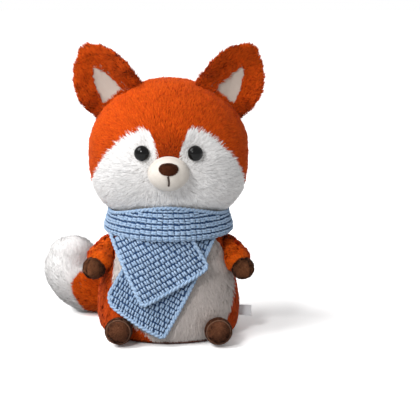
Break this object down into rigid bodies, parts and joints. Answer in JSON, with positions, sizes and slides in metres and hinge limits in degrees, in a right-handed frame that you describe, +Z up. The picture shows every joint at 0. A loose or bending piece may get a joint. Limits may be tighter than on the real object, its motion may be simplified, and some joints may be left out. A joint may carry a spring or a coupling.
{
  "type": "plush fox",
  "caption": "Seated plush fox with a large round head, cupped ears, white face and belly, curled tail and a knitted scarf with draped ends.",
  "frame": {"origin": "middle of the flat underside of the seat, on the surface the toy sits on", "axes": "+Z up, the toy faces -Y, its left side is +X and its tail curls round its right side at -X"},
  "size_m": [0.1913, 0.162, 0.249],
  "materials": {
    "orange_plush": "long soft pile",
    "white_plush": "long soft pile",
    "muzzle_velour": "short velour pile",
    "brown_plush": "short soft pile",
    "nose_velour": "short velour pile",
    "cream_satin": "smooth satin",
    "blue_knit": "chunky matt knit",
    "ribbon": "smooth woven ribbon",
    "black_thread": "matt embroidery thread",
    "filling": "loose polyester fibre",
    "calico": "plain woven cloth",
    "eye_plastic": "polished",
    "washer_plastic": "moulded matt"
  },
  "bodies": {
    "torso": {"torso_back": "orange_plush", "belly_panel": "white_plush", "seat_panel": "orange_plush", "torso_stuffing": "filling", "pellet_pouch": "calico", "scarf_collar": "blue_knit", "side_label": "ribbon"},
    "head": {"head_crown": "orange_plush", "head_stuffing": "filling", "muzzle": "muzzle_velour", "nose_pad": "nose_velour", "mouth_stitch": "black_thread", "face_right": "white_plush", "face_left": "white_plush", "eye_right": "eye_plastic", "eye_left": "eye_plastic", "eye_washer_right": "washer_plastic", "eye_washer_left": "washer_plastic"},
    "ear_right": {"ear_right": "orange_plush", "ear_lining_right": "cream_satin"},
    "ear_left": {"ear_left": "orange_plush", "ear_lining_left": "cream_satin"},
    "arm_right": {"arm_right": "orange_plush", "paw_right": "brown_plush"},
    "arm_left": {"arm_left": "orange_plush", "paw_left": "brown_plush"},
    "foot_right": {"foot_right": "brown_plush", "sole_right": "brown_plush"},
    "foot_left": {"foot_left": "brown_plush", "sole_left": "brown_plush"},
    "tail": {"tail_base": "orange_plush", "tail_tip": "white_plush"},
    "scarf_end_back": {"scarf_end_back": "blue_knit"},
    "scarf_end_front": {"scarf_end_front": "blue_knit"}
  },
  "joints": [
    {"name": "head_turn", "type": "hinge", "parent": "torso", "child": "head", "pos_m": [0, 0, 0.104], "axis": [0, 0, 1], "range_deg": [-15, 15], "stiffness_Nm_per_rad": 0.3},
    {"name": "ear_right_flick", "type": "hinge", "parent": "head", "child": "ear_right", "pos_m": [-0.0414, -0.00277, 0.20163], "axis": [0.7677, -0.2148, 0.6038], "range_deg": [-15, 15], "stiffness_Nm_per_rad": 0.03},
    {"name": "ear_left_flick", "type": "hinge", "parent": "head", "child": "ear_left", "pos_m": [0.0414, -0.00277, 0.20163], "axis": [0.7677, 0.2148, -0.6038], "range_deg": [-15, 15], "stiffness_Nm_per_rad": 0.03},
    {"name": "arm_right_lift", "type": "hinge", "parent": "torso", "child": "arm_right", "pos_m": [-0.05, -0.005, 0.075], "axis": [0, 1, 0], "range_deg": [0, 35], "stiffness_Nm_per_rad": 0.05},
    {"name": "arm_left_lift", "type": "hinge", "parent": "torso", "child": "arm_left", "pos_m": [0.05, -0.005, 0.075], "axis": [0, -1, 0], "range_deg": [0, 35], "stiffness_Nm_per_rad": 0.05},
    {"name": "foot_right_splay", "type": "hinge", "parent": "torso", "child": "foot_right", "pos_m": [-0.041, -0.042, 0.014], "axis": [0, 0, -1], "range_deg": [0, 20]},
    {"name": "foot_left_splay", "type": "hinge", "parent": "torso", "child": "foot_left", "pos_m": [0.041, -0.042, 0.014], "axis": [0, 0, 1], "range_deg": [0, 20]},
    {"name": "tail_swing", "type": "hinge", "parent": "torso", "child": "tail", "pos_m": [0, 0.05, 0.01978], "axis": [0, 0, -1], "range_deg": [0, 40]},
    {"name": "scarf_end_back_lift", "type": "hinge", "parent": "torso", "child": "scarf_end_back", "pos_m": [0, -0.0525, 0.0915], "axis": [-1, 0, 0], "range_deg": [0, 45]},
    {"name": "scarf_end_front_lift", "type": "hinge", "parent": "scarf_end_back", "child": "scarf_end_front", "pos_m": [0, -0.0525, 0.0915], "axis": [-1, 0, 0], "range_deg": [0, 60]}
  ]
}
